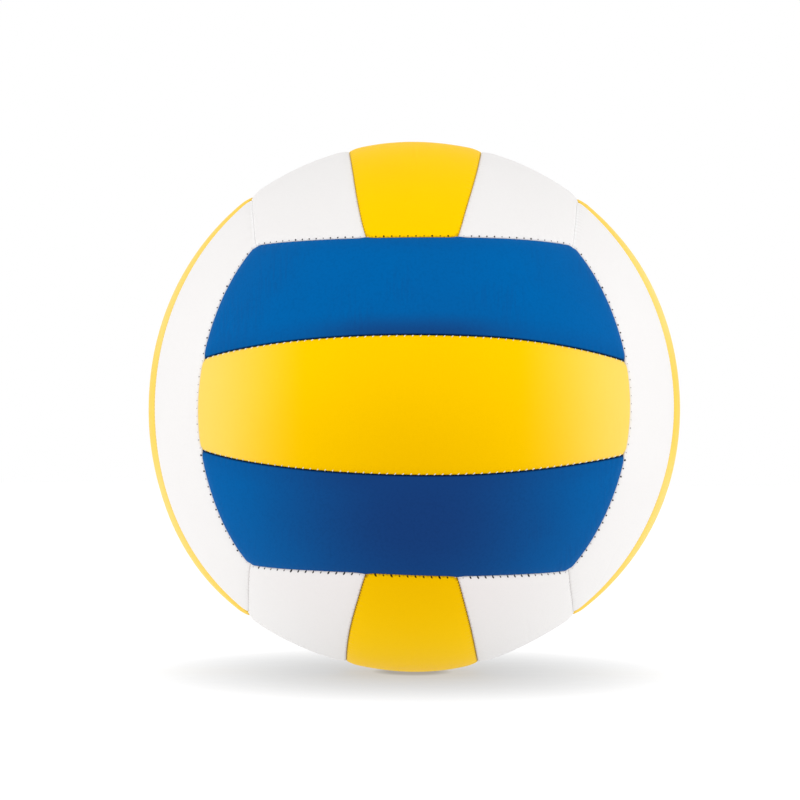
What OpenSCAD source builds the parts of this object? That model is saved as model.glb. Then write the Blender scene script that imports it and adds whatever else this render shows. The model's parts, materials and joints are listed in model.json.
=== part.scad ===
// Stitched volleyball with eighteen panels.
// Six faces of three strips each cover a rubber bladder. Every strip is a tray of cover
// material with its edges turned in, filled with a foam pad, and sewn to its neighbours.
// The origin is the centre of the ball, the valve looks along +Y and +Z is up.

/* [Ball] */
// Diameter of the ball, measured over its panels
ball_d = 210; // [190:1:230]

/* [Panel layout] */
// Width of a middle strip, straight across its middle
strip_mid_w = 52.7; // [46:0.1:58]
// Width of a middle strip, straight across its ends
strip_end_w = 34.5; // [28:0.1:42]
// How far the end of a strip bows out past the edge of a plain cube layout
end_bow = 13.2; // [8:0.1:18]
// Gap between the turned-in edges of two panels in their seam
seam_gap = 0.1; // [0.06:0.02:0.3]

/* [Panels] */
// Thickness of the cover material
cover_t = 1.4; // [1.2:0.1:1.8]
// Width of the rounded shoulder along each edge of a cover
fold_w = 2.2; // [1.8:0.1:2.6]
// Thickness of a foam pad
pad_t = 2.4; // [1.6:0.1:4]
// Gap round a pad inside its cover
pad_gap = 0.2; // [0.1:0.05:0.4]

/* [Seam thread] */
// Diameter of the thread that lies in a seam
thread_d = 0.7; // [0.5:0.05:0.9]
// Gap between a thread and the folds beside it
thread_gap = 0.04; // [0.02:0.02:0.1]
// Distance from the end of a thread to the next seam
thread_end_gap = 1; // [0.8:0.1:3]

/* [Bladder] */
// Wall thickness of the bladder
bladder_t = 0.8; // [0.6:0.1:1.6]
// Gap between the bladder and what lies round it
bladder_gap = 0.25; // [0.15:0.05:0.5]

/* [Valve] */
// Radius of the guide that an inflation needle enters
needle_r = 1.1; // [1.05:0.05:1.3]
// Depth of the needle guide
guide_len = 9; // [6:0.5:12]
// Diameter of the head of the valve plug
plug_head_d = 9.6; // [8:0.1:12]
// Thickness of the head of the valve plug
plug_head_t = 1.8; // [1.4:0.1:2.4]
// Depth of the plug's head below the surface of the ball
plug_recess = 0.6; // [0.4:0.1:1]
// Diameter of the stem of the valve plug
plug_stem_d = 5; // [4.4:0.1:6]
// Diameter of the bulb that keeps the plug in its seat
plug_bulb_d = 6.6; // [6.2:0.1:8]
// Outside diameter of the tube of the valve seat
seat_d = 13; // [11.4:0.1:15]
// How far the tube of the valve seat reaches into the bladder
seat_reach = 8; // [6:0.5:12]
// Diameter of the flange of the valve seat
flange_d = 30; // [26:1:36]
// Thickness of the flange of the valve seat
flange_t = 1.5; // [1:0.1:2.5]
// Diameter of the patch between the flange and the bladder
patch_d = 44; // [38:1:52]
// Thickness of the patch
patch_t = 0.8; // [0.5:0.1:1.2]
// Diameter of the backing ring behind the valve hole
ring_d = 26; // [20:1:32]
// Thickness of the backing ring
ring_t = 0.8; // [0.5:0.1:1.2]
// Gap round the pieces of the valve
valve_gap = 0.3; // [0.2:0.05:0.4]

/* [Hidden] */
$fn = 120;
// Overlap that carries a cut clear of the surface that it cuts
overrun = 1;
// Amount by which a fold's circle crosses the faces that it blends, so that none just touch
fold_slip = 0.03;
// Angle by which a fold runs on past both ends of its seam
fold_extra = 4;
// Sides of the thread's round section
thread_fn = 24;

ball_r = ball_d / 2;
// Reach of the solids that cut the ball into panels
reach = ball_r + ball_r / 4;
half_gap = seam_gap / 2;

// The face edges. Each lies in a plane that passes through two corners of the cube layout
// and a middle point that end_bow pushes out.
cube_share = 1 / sqrt(3);
corner = ball_r * cube_share;
bow_angle = 45 + end_bow / ball_r * 180 / PI;
edge_tilt = atan2(ball_r * cos(bow_angle) - corner, ball_r * sin(bow_angle) - corner);
edge_depth = corner * (cos(edge_tilt) - sin(edge_tilt));
// Half of the arc of a face edge, between two corners
edge_span = atan2(1, cos(edge_tilt) + sin(edge_tilt));

// The strip seams. Each lies in a plane along the face, through a point beside the face's
// middle and a point on its end edge.
mid_half = strip_mid_w / 2;
end_half = strip_end_w / 2;
mid_height = sqrt(ball_r * ball_r - mid_half * mid_half);
end_ring = sqrt(ball_r * ball_r - end_half * end_half - edge_depth * edge_depth);
end_height = edge_depth * cos(edge_tilt) + end_ring * sin(edge_tilt);
end_length = end_ring * cos(edge_tilt) - edge_depth * sin(edge_tilt);
strip_tilt = atan2(mid_half - end_half, mid_height - end_height);
strip_depth = mid_half * cos(strip_tilt) - mid_height * sin(strip_tilt);
// Half of the arc of a strip seam, between the two ends of its face
strip_span = atan2(end_length, end_height * cos(strip_tilt) + end_half * sin(strip_tilt));

// The layers, from outside to inside
hem_depth = cover_t + pad_gap + pad_t;
pad_out_r = ball_r - cover_t - pad_gap;
pad_in_r = ball_r - hem_depth;
bladder_out_r = pad_in_r - bladder_gap;
bladder_in_r = bladder_out_r - bladder_t;
patch_out_r = bladder_in_r - bladder_gap;
patch_in_r = patch_out_r - patch_t;
flange_out_r = patch_in_r - bladder_gap;
flange_in_r = flange_out_r - flange_t;
ring_in_r = pad_out_r - ring_t;

// The valve, along its own axis
plug_top = ball_r - plug_recess;
plug_head_low = plug_top - plug_head_t;
seat_top = plug_head_low - valve_gap;
seat_low = flange_in_r - seat_reach;
seat_bore_d = plug_stem_d + 2 * valve_gap;
bulb_mid = seat_low - valve_gap - plug_bulb_d / 2;
hole_d = plug_head_d + 2 * valve_gap;
seat_hole_d = seat_d + 2 * valve_gap;

// The faces: name, turn from the top of a local frame, names of the strips across the frame's
// Y axis from low to high, and names of the two ends along its X axis, high end first
FACES = [
    ["front", [90, 0, 0], ["lower", "middle", "upper"], ["right", "left"]],
    ["back", [90, 0, 180], ["lower", "middle", "upper"], ["left", "right"]],
    ["top", [0, 0, 90], ["right", "middle", "left"], ["back", "front"]],
    ["bottom", [180, 0, 90], ["left", "middle", "right"], ["back", "front"]],
    ["left", [0, -90, 0], ["front", "middle", "back"], ["top", "bottom"]],
    ["right", [180, -90, 0], ["back", "middle", "front"], ["top", "bottom"]]
];
STRIPS = [-1, 0, 1];
SIDES = [1, -1];
VALVE_TURN = [-90, 0, 0];

blue = "#0C5AA6";
yellow = "#FFD21F";
white = "#F4F4F2";
foam = "#E6DFCF";
thread_white = "#FAFAF7";
black_rubber = "#232426";
grey_rubber = "#8F8B84";
canvas = "#CDBF9C";

function is_blue_face(face) = face[0] == "front" || face[0] == "back";
function strip_colour(face, strip) = strip == 0 ? yellow : is_blue_face(face) ? blue : white;
function has_valve(face, strip) = face[0] == "back" && strip == 0;
function panel_node(kind, face, strip) = str(kind, "_", face[0], "_", face[2][strip + 1]);
function edge_node(face, end) = str("thread_", face[0], "_", face[3][end > 0 ? 0 : 1]);
function strips_node(face) = str("thread_", face[0], "_strips");

// The four seams of a strip: kind, side of its face, and whether the strip lies beyond the
// seam's plane, at 1, or below it, at -1
function strip_seams(strip) = concat(
    [["end", 1, 1], ["end", -1, 1]],
    strip == 0
        ? [["strip", 1, -1], ["strip", -1, -1]]
        : [["strip", strip, 1], ["side", strip, -1]]
);
function seam_depth(kind) = kind == "strip" ? strip_depth : edge_depth;
function seam_span(kind) = kind == "strip" ? strip_span : edge_span;
function seam_turn(kind, side) =
    kind == "end" ? [0, -side * edge_tilt, 0]
    : kind == "side" ? [-side * (90 + edge_tilt), 0, 0]
    : [-side * (90 + strip_tilt), 0, 0];
// Direction of the middle of a seam's arc, seen along the normal of its plane
function seam_middle(kind, side) = kind == "end" ? (side > 0 ? 0 : 180) : -90 * side;

// A fold is a circle that touches a cover's surface and its seam's plane, both at fold_w from
// the cover's edge. The cover lies beyond the plane where way is 1, and below it where way is -1.
function fold_r(depth, way) = fold_w * tan((90 - way * asin(depth / ball_r)) / 2);
function fold_height(depth, way) = depth + way * (half_gap + fold_r(depth, way) - fold_slip);
function fold_ring(depth, way) =
    sqrt(pow(ball_r - fold_r(depth, way) + fold_slip, 2) - pow(fold_height(depth, way), 2));
// A thread lies in its seam's plane, as deep as the folds on both sides let it
function thread_rest(depth, way) =
    let (clear = fold_r(depth, way) + thread_d / 2 + thread_gap)
    fold_ring(depth, way) + sqrt(pow(clear, 2) - pow(fold_height(depth, way) - depth, 2));
function thread_ring(depth) = max(thread_rest(depth, 1), thread_rest(depth, -1));

// Everything beyond a seam's plane where way is 1, and everything below it where way is -1
module side_of_seam(kind, side, way, inset) {
    depth = seam_depth(kind) + way * inset;
    rotate(seam_turn(kind, side))
        translate([-reach, -reach, way > 0 ? depth : depth - 2 * reach])
            cube(2 * reach);
}

// The space of one strip, drawn back from its seams by an inset
module cell(strip, inset) {
    seams = strip_seams(strip);
    intersection() {
        side_of_seam(seams[0][0], seams[0][1], seams[0][2], inset);
        side_of_seam(seams[1][0], seams[1][1], seams[1][2], inset);
        side_of_seam(seams[2][0], seams[2][1], seams[2][2], inset);
        side_of_seam(seams[3][0], seams[3][1], seams[3][2], inset);
    }
}

// A layer of the ball between two radii
module layer(out_r, in_r) {
    difference() {
        sphere(out_r);
        sphere(in_r);
    }
}

// The sliver that rounds a cover's edge along one seam
module fold_cut(kind, side, way) {
    depth = seam_depth(kind);
    centre = [fold_ring(depth, way), fold_height(depth, way)];
    beyond = depth - way * overrun;
    half_arc = seam_span(kind) + fold_extra;
    rotate(seam_turn(kind, side))
        rotate([0, 0, seam_middle(kind, side) - half_arc])
            rotate_extrude(angle = 2 * half_arc)
                difference() {
                    polygon([
                        centre,
                        [centre.x, beyond],
                        [sqrt(pow(ball_r + overrun, 2) - pow(beyond, 2)) + overrun, beyond],
                        centre * (ball_r + overrun) / norm(centre)
                    ]);
                    translate(centre) circle(fold_r(depth, way));
                }
}

// Rounds the edges of a cover one after another
module rounded(strip, count) {
    if (count == 0) {
        children();
    } else {
        seam = strip_seams(strip)[count - 1];
        difference() {
            rounded(strip, count - 1) children();
            fold_cut(seam[0], seam[1], seam[2]);
        }
    }
}

// A round hole from the middle of the ball out through its side, along a face's own axis
module valve_hole(d) cylinder(d = d, h = reach);

// A strip of cover with its edges turned in, before they are rounded
module tray(strip) {
    difference() {
        intersection() {
            layer(ball_r, pad_in_r);
            cell(strip, half_gap);
        }
        intersection() {
            layer(ball_r - cover_t, pad_in_r - overrun);
            cell(strip, half_gap + cover_t);
        }
    }
}

// One cover: a curved tray whose edges are turned in towards the bladder
module cover(face, strip) {
    color(strip_colour(face, strip))
        rotate(face[1])
            difference() {
                rounded(strip, len(strip_seams(strip))) tray(strip);
                if (has_valve(face, strip))
                    valve_hole(hole_d);
            }
}

// One foam pad, which fills its cover between the turned-in edges
module pad(face, strip) {
    color(foam)
        rotate(face[1])
            difference() {
                intersection() {
                    layer(pad_out_r, pad_in_r);
                    cell(strip, half_gap + cover_t + pad_gap);
                }
                if (has_valve(face, strip))
                    valve_hole(seat_hole_d);
                if (has_valve(face, strip))
                    intersection() {
                        layer(pad_out_r + overrun, ring_in_r - pad_gap);
                        valve_hole(ring_d + 2 * pad_gap);
                    }
            }
}

// A thread that lies along a whole seam
module seam_thread(kind, side) {
    depth = seam_depth(kind);
    ring = thread_ring(depth);
    half_arc = seam_span(kind) - thread_end_gap / ring * 180 / PI;
    rotate(seam_turn(kind, side))
        rotate([0, 0, seam_middle(kind, side) - half_arc])
            rotate_extrude(angle = 2 * half_arc)
                translate([ring, depth]) circle(d = thread_d, $fn = thread_fn);
}

// The thread that sews the end of one face to the side of the next
module edge_thread(face, end) {
    color(thread_white)
        rotate(face[1])
            seam_thread("end", end);
}

// The two threads between the strips of a face
module strip_threads(face) {
    color(thread_white)
        rotate(face[1])
            for (side = SIDES)
                seam_thread("strip", side);
}

module bladder() {
    color(black_rubber)
        rotate(VALVE_TURN)
            difference() {
                layer(bladder_out_r, bladder_in_r);
                valve_hole(seat_hole_d);
            }
}

// A curved washer round the tube of the valve seat
module valve_washer(out_r, in_r, d) {
    rotate(VALVE_TURN)
        difference() {
            intersection() {
                layer(out_r, in_r);
                valve_hole(d);
            }
            valve_hole(seat_hole_d);
        }
}

// The ring that stiffens the cover round the valve hole
module valve_ring() {
    color(canvas) valve_washer(pad_out_r, ring_in_r, ring_d);
}

// The patch that spreads the pull of the valve seat over the bladder
module valve_patch() {
    color(canvas) valve_washer(patch_out_r, patch_in_r, patch_d);
}

// The moulded seat: a flange inside the bladder and a tube that holds the plug
module valve_seat() {
    color(grey_rubber)
        rotate(VALVE_TURN)
            difference() {
                union() {
                    intersection() {
                        layer(flange_out_r, flange_in_r);
                        valve_hole(flange_d);
                    }
                    translate([0, 0, seat_low])
                        cylinder(d = seat_d, h = seat_top - seat_low);
                }
                valve_hole(seat_bore_d);
            }
}

// The plug: a flush head, a stem through the seat and a bulb that holds it in, with a blind
// guide for the needle
module valve_plug() {
    color(black_rubber)
        rotate(VALVE_TURN)
            difference() {
                union() {
                    translate([0, 0, plug_head_low])
                        cylinder(d = plug_head_d, h = plug_head_t);
                    translate([0, 0, bulb_mid])
                        cylinder(d = plug_stem_d, h = plug_top - bulb_mid);
                    translate([0, 0, bulb_mid])
                        sphere(d = plug_bulb_d);
                }
                translate([0, 0, plug_top - guide_len])
                    cylinder(r = needle_r, h = guide_len + overrun);
            }
}

for (face = FACES, strip = STRIPS) {
    cover(face, strip);
    pad(face, strip);
}
for (face = FACES, end = SIDES)
    edge_thread(face, end);
for (face = FACES)
    strip_threads(face);
bladder();
valve_ring();
valve_patch();
valve_seat();
valve_plug();
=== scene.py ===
import json
import math

import bpy
import numpy as np
from mathutils import Matrix, Vector
from mathutils.kdtree import KDTree

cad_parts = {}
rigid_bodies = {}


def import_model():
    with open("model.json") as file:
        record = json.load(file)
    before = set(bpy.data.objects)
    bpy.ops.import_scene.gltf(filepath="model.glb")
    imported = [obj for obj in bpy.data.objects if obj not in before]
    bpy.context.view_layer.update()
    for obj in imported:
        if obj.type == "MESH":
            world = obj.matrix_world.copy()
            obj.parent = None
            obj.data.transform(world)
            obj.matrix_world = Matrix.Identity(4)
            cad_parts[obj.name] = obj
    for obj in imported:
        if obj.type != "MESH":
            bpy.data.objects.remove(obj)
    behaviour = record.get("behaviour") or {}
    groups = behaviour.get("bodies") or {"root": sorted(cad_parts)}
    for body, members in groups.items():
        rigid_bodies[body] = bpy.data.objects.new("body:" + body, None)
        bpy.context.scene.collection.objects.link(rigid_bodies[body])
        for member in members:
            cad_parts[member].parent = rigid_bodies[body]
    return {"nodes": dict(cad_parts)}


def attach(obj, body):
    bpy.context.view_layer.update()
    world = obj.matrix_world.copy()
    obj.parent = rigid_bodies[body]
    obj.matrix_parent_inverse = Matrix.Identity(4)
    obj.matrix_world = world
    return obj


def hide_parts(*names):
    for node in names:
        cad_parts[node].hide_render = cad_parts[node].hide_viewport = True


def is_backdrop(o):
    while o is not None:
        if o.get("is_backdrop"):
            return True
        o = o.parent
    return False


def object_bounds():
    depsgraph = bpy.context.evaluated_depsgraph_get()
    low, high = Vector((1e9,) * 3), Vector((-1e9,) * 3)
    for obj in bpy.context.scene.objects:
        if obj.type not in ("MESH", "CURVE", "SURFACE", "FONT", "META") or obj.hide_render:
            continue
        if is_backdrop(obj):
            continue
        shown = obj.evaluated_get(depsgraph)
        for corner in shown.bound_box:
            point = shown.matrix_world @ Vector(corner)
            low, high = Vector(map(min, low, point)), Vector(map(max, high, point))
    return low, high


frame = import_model()
cad_low, cad_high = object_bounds()
scene = bpy.context.scene

# Sizes in millimetres, the same as in the part's source
BALL_R = 105.0
STRIP_MID_W = 52.7
STRIP_END_W = 34.5
END_BOW = 13.2
SEAM_GAP = 0.1
COVER_T = 1.4
PAD_T = 2.4
PAD_GAP = 0.2
HEM_DEPTH = COVER_T + PAD_GAP + PAD_T
BLADDER_OUT_R = 100.75
BLADDER_T = 0.8
NEEDLE_R = 1.1
GUIDE_LEN = 9.0
PLUG_HEAD_D = 9.6
PLUG_HEAD_T = 1.8
PLUG_TOP = 104.4
PLUG_STEM_D = 5.0
PLUG_BULB_D = 6.6
PLUG_BULB_Y = 85.55
VALVE_HOLE_D = 10.2
SEAT_HOLE_D = 13.6
RING_D = 26.0
RING_T = 0.8

# Sizes in millimetres that only the sewn panels have
FOLD_R = 0.55
SHOULDER_W = 5.5
SHOULDER_DROP = 0.75
CORNER_R = 3.7
CORNER_SOFTNESS = 2.0
JOINT_PINCH = 0.6
JOINT_REACH = 3.5
JOINT_BEND = 8.0
STITCH_PITCH = 3.0
SEAM_END_GAP = 1.4
HEM_LEVELS = (2.2, 3.1, HEM_DEPTH)
PAD_CROWN = 0.5
PAD_CROWN_UNDER = 0.2
PAD_CROWN_W = 3.0
PAD_BULGE = 0.12
PAD_EDGE = 0.1
RIM_R = 0.5
RIM_DIP = 0.22
SWELL = 0.07
SWELL_FROM = 3.0
SWELL_OVER = 10.0
# The powers by which a shoulder falls to its seam, and a joint's pinch fades along it
SHOULDER_CURVE = 2.2
JOINT_CURVE = 1.5
# Three seams meet at a corner, so a seam that is rounded there turns by twice this
HALF_CORNER = math.radians(30)

# Cells of the meshes in millimetres: the step between the points of a seam, the widest cells of
# covers and pads, and the distances from a seam where their finer rows lie
LINE_STEP = 0.1
GRID_STEP = 0.8
PAD_STEP = 2.5
PAD_NEAR = (0, 0.3, 0.9, 1.8, 3.0)
FOLD_NEAR = FOLD_R * (1 - np.cos(np.radians([0, 18, 36, 54, 72, 90])))
COVER_NEAR = (*FOLD_NEAR, 1.5, 2.0, 2.6, 3.3, 4.2)
# Half the width of the block of cells that the valve's rings take up in a cover and in a pad, and
# how far out the rings of a cover lie between the rim of the hole and the block's edge
COVER_BLOCK = 8.0
PAD_BLOCK = 15.0
RIM_SHARES = (0.7, 0.45, 0.25, 0.12)
# The inside of a cover has every fourth point of its outside
COARSE = 4
# How many places along a strip's sides its widths and lengths are measured at
COARSE_PLACES = 25
# A millimetre in metres
MM = 0.001

# The face edges and strip seams, worked out as in the part's source
corner = BALL_R / math.sqrt(3)
bow_angle = math.radians(45) + END_BOW / BALL_R
edge_tilt = math.atan2(
    BALL_R * math.cos(bow_angle) - corner, BALL_R * math.sin(bow_angle) - corner
)
edge_depth = corner * (math.cos(edge_tilt) - math.sin(edge_tilt))
edge_span = math.atan2(1, math.cos(edge_tilt) + math.sin(edge_tilt))
edge_ring = math.sqrt(BALL_R**2 - edge_depth**2)
mid_half = STRIP_MID_W / 2
end_half = STRIP_END_W / 2
mid_height = math.sqrt(BALL_R**2 - mid_half**2)
end_ring = math.sqrt(edge_ring**2 - end_half**2)
end_height = edge_depth * math.cos(edge_tilt) + end_ring * math.sin(edge_tilt)
strip_tilt = math.atan2(mid_half - end_half, mid_height - end_height)
strip_depth = mid_half * math.cos(strip_tilt) - mid_height * math.sin(strip_tilt)
strip_ring = math.sqrt(BALL_R**2 - strip_depth**2)
joint_angle = math.asin(end_half / edge_ring)

# The faces: turns in degrees from the top of a local frame, names of the strips across the
# frame's Y axis from low to high, and names of the two ends along its X axis, high end first
FACES = {
    "front": ((90, 0, 0), ("lower", "middle", "upper"), ("right", "left")),
    "back": ((90, 0, 180), ("lower", "middle", "upper"), ("left", "right")),
    "top": ((0, 0, 90), ("right", "middle", "left"), ("back", "front")),
    "bottom": ((180, 0, 90), ("left", "middle", "right"), ("back", "front")),
    "left": ((0, -90, 0), ("front", "middle", "back"), ("top", "bottom")),
    "right": ((180, -90, 0), ("back", "middle", "front"), ("top", "bottom")),
}
# How the ends of a face's own end edges and side edges turn at the corners of a blue panel:
# towards the middle of the face that ends there at 1, away from it at -1, and straight on at 0
CORNER_TURNS = {
    "front": (1, -1),
    "back": (1, -1),
    "top": (-1, 0),
    "bottom": (-1, 0),
    "left": (0, 1),
    "right": (0, 1),
}
COVER_COLOURS = {"front": "blue", "back": "blue"}
# How dark the painted shade in the folds is, or below 0 how pale the painted light there, and how
# clearly the painted needle holes show, for middle strips at 0 and side strips at 1. Each has four
# values, for the low Y, high Y, low X and high X sides
SEAM_LOOKS = {
    "front": {0: ((0.2, 0.2, 0.1, 0.1), (0, 0, 0, 0)), 1: ((1, 0.2, 0.2, 0.2), (0, 0, 0, 0))},
    "top": {0: ((0.5, 0.5, 0.3, 0.3), (0, 0, 1, 1)), 1: ((0.1, -0.5, 0, 0), (0.2, 0.1, 1, 1))},
    "bottom": {0: ((1, 1, 0.4, 0.4), (0, 0, 1.5, 1.5)), 1: ((0.3, 0, 0, 0), (0.3, 0.4, 1.5, 1.5))},
    "left": {0: ((0.5, 0.5, 0.4, 0.4), (0, 0, 0, 0)), 1: ((0.2, 0, 0, -0.5), (0.5, 1, 0.1, 0.1))},
}
LOOKS_LIKE = {"back": "front", "right": "left"}
# In millimetres: how much nearer than the next one a seam must be to show its holes, how far it
# takes them to show in full, and how softly the folds of two seams blend at a corner
ALONE_FROM = 0.9
ALONE_OVER = 1.5
LOOK_BLEND = 0.3
# How clearly holes show beside a neighbour's middle strip, as a share
HOLES_BESIDE_MIDDLE = 0.5
# Hand sewing lets the seams drift. Each place on the front has its x and z in
# millimetres, and how far the seams round it are pushed to the right and up
DRIFTS = (
    (-63, -60, -5.5, -5.0),
    (62, -61, 3.0, -5.5),
    (63, 61, 3.5, 4.0),
    (-63, 62, -2.0, 2.5),
    (24, -68, 0.5, -2.0),
    (36, 67, 0.0, 1.0),
    (0, 68, 0.0, -0.5),
    (-22, -86, -1.0, 0.0),
    (22, -84, 0.5, 0.0),
    (-20, 72, -1.0, 0.0),
    (20, 90, 0.5, 0.0),
    (40, 27, 0.0, 0.5),
    (30, -27, 0.0, -0.3),
    (90, 34, 3.0, 1.0),
    (100, 0, 10.0, 0.0),
    (90, -34, 2.5, -3.5),
    (-84, 22, 1.5, 0.0),
    (-94, -42, -8.0, -2.0),
)
DRIFT_REACH = 20.0
# How far in front of the ball's middle the drift begins, and where it is whole
DRIFT_FADE = (-6.0, 30.0)
# A stuffed ball is a little out of round: turns up from the right, in degrees, and how far the
# outline stands out there, in millimetres
ROUND_OFF = (
    (32, 0.5),
    (75, -0.3),
    (105, -0.4),
    (140, 0.3),
    (180, -0.4),
    (217, 1.4),
    (255, -0.7),
    (300, -1.4),
    (335, 0.4),
)
ROUND_REACH = 24.0


def on_ball(points):
    """The points, moved along their own directions onto the ball."""
    return points / np.linalg.norm(points, axis=-1, keepdims=True) * BALL_R


def unit(vectors):
    """The vectors at length one."""
    return vectors / np.maximum(np.linalg.norm(vectors, axis=-1, keepdims=True), 1e-12)


def nearness(points, places, reach):
    """How near each point is to each place, from 1 there down to 0 beyond some three reaches."""
    apart = np.sum((points[:, None] - places) ** 2, 2)
    return np.exp(-apart / (2 * reach**2))


def drifted(points):
    """The points on a real ball: its seams drift, and its outline is a little out of round."""
    reach = np.linalg.norm(points, axis=1, keepdims=True)
    ways = unit(points) * BALL_R
    across, up, push_across, push_up = np.array(DRIFTS).T
    depth = np.sqrt(BALL_R**2 - across**2 - up**2)
    near = nearness(ways, np.stack([across, -depth, up], 1), DRIFT_REACH)
    low, high = DRIFT_FADE
    front = np.clip((-ways[:, 1] - low) / (high - low), 0, 1)
    push = near @ np.stack([push_across, 0 * depth, push_up], 1)
    moved = unit(ways + push * (front * front * (3 - 2 * front))[:, None])
    turns, lifts = np.array(ROUND_OFF).T
    turns = np.radians(turns)
    places = BALL_R * np.stack([np.cos(turns), 0 * turns, np.sin(turns)], 1)
    lift = nearness(BALL_R * moved, places, ROUND_REACH) @ lifts
    return moved * (reach + lift[:, None])


def face_turn(name):
    """The rotation matrix from a face's local frame to the ball's."""
    x, y, z = (math.radians(angle) for angle in FACES[name][0])
    turned = Matrix.Rotation(z, 3, "Z") @ Matrix.Rotation(y, 3, "Y") @ Matrix.Rotation(x, 3, "X")
    return np.array(turned)


class Seam:
    """A seam line on the ball, as close points in millimetres in a face's local frame."""

    def __init__(self, points):
        self.points = points
        steps = np.linalg.norm(np.diff(points, axis=0), axis=1)
        self.run = np.concatenate([[0.0], np.cumsum(steps)])
        self.length = float(self.run[-1])

    def at(self, share):
        """Points at shares of the seam's length."""
        run = np.asarray(share) * self.length
        return np.stack([np.interp(run, self.run, self.points[:, k]) for k in range(3)], axis=-1)

    def part(self, first, last):
        """The stretch between the places nearest to two points."""
        ends = [int(np.argmin(np.linalg.norm(self.points - p, axis=1))) for p in (first, last)]
        return Seam(self.points[ends[0] : ends[1] + 1])

    def changed(self, change):
        """The same seam after a change to its points."""
        return Seam(change(self.points))

    def stitches(self):
        """How many stitches the seam holds, and the run of the first."""
        count = int((self.length - 2 * SEAM_END_GAP) / STITCH_PITCH) + 1
        return count, (self.length - (count - 1) * STITCH_PITCH) / 2

    def nearest(self, points):
        """Distance from each point to the seam, and the run of the nearest place on it."""
        tree = KDTree(len(self.points))
        for index, place in enumerate(self.points):
            tree.insert(place, index)
        tree.balance()
        found = np.array([tree.find(p)[1] for p in points])
        best = np.full(len(points), np.inf)
        run = np.zeros(len(points))
        for first in (found - 1, found):
            first = np.clip(first, 0, len(self.points) - 2)
            start = self.points[first]
            step = self.points[first + 1] - start
            share = np.clip(np.sum((points - start) * step, 1) / np.sum(step * step, 1), 0, 1)
            gap = np.linalg.norm(points - start - share[:, None] * step, axis=1)
            nearer = gap < best
            best = np.where(nearer, gap, best)
            here = self.run[first] + share * (self.run[first + 1] - self.run[first])
            run = np.where(nearer, here, run)
        return best, run


def end_edge_points(angles, turn):
    """Points on the seam at the high X end of a face, with its bends at corners and joints."""
    normal = np.array([-math.sin(edge_tilt), 0, math.cos(edge_tilt)])
    middle = np.array([math.cos(edge_tilt), 0, math.sin(edge_tilt)])
    angles = np.asarray(angles)[:, None]
    ring = np.cos(angles) * middle + np.sin(angles) * np.array([0, 1, 0])
    plain = normal * edge_depth + edge_ring * ring
    outward = unit(plain)
    inward = unit(normal - np.sum(outward * normal, 1, keepdims=True) * outward)
    to_corner = edge_ring * (edge_span - np.abs(angles))
    past_start = np.clip(CORNER_R * math.tan(HALF_CORNER) - to_corner, 0, CORNER_R)
    bend = turn * (CORNER_R - np.sqrt(CORNER_R**2 - past_start**2))
    to_joint = edge_ring * np.abs(np.abs(angles) - joint_angle)
    pinch = JOINT_PINCH * np.clip(1 - to_joint / JOINT_REACH, 0, 1) ** JOINT_CURVE
    return on_ball(plain + inward * (bend + pinch))


def end_edge(turn):
    """The seam at the high X end of a face, from low Y to high Y."""
    if turn:
        last = edge_span - CORNER_R * (math.tan(HALF_CORNER) - math.sin(HALF_CORNER)) / edge_ring
    else:
        last = edge_span + CORNER_R * (1 / math.cos(HALF_CORNER) - 1) / edge_ring
    count = int(2 * last * edge_ring / LINE_STEP)
    return Seam(end_edge_points(np.linspace(-last, last, count), turn))


def strip_seam():
    """The seam on the high Y side of a middle strip, from low X to high X."""
    joint = end_edge_points([joint_angle], 0)[0]
    normal = np.array([0, math.cos(strip_tilt), -math.sin(strip_tilt)])
    middle = np.array([0, math.sin(strip_tilt), math.cos(strip_tilt)])
    last = math.atan2(joint[0], joint @ middle)
    angles = np.linspace(-last, last, int(2 * last * strip_ring / LINE_STEP))[:, None]
    ring = np.cos(angles) * middle + np.sin(angles) * np.array([1, 0, 0])
    plain = normal * strip_depth + strip_ring * ring
    miss = joint - plain[-1]
    bend = miss * np.clip(1 - strip_ring * (last - np.abs(angles)) / JOINT_BEND, 0, 1) ** 2
    bend[:, :1] *= np.sign(angles)
    return Seam(on_ball(plain + bend))


def mirror_x(points):
    return points * [-1, 1, 1]


def mirror_y(points):
    return points * [1, -1, 1]


def swap_to_side(points):
    """A neighbour's end edge, seen from the face on whose high Y side it lies."""
    return points[:, [1, 2, 0]]


def strip_sides(strip, turns):
    """The seams on the low Y, high Y, low X and high X sides of a strip, each whole and then as
    the stretch beside the strip. The strip is the middle one at 0, and the high Y one at 1."""
    end = end_edge(turns[0])
    seam = strip_seam()
    joint = seam.points[-1]
    far_end = end.changed(mirror_x)
    if strip == 0:
        low = seam.changed(mirror_y)
        stretch = [mirror_y(joint), joint]
        high = seam
    else:
        low = seam
        stretch = [joint, end.points[-1]]
        high = end_edge(turns[1]).changed(swap_to_side)
    start = far_end.part(mirror_x(stretch[0]), mirror_x(stretch[1]))
    stop = end.part(*stretch)
    return [(low, low), (high, high), (far_end, start), (end, stop)]


def patch(sides, u, v):
    """Points of the surface between four seams, at shares u along X and v along Y."""
    low, high, start, stop = [stretch for whole, stretch in sides]
    u3, v3 = u[..., None], v[..., None]
    across = (1 - v3) * low.at(u) + v3 * high.at(u)
    along = (1 - u3) * start.at(v) + u3 * stop.at(v)
    corners = (1 - v3) * ((1 - u3) * low.at(0.0) + u3 * low.at(1.0)) + v3 * (
        (1 - u3) * high.at(0.0) + u3 * high.at(1.0)
    )
    return on_ball(across + along - corners)


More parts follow.
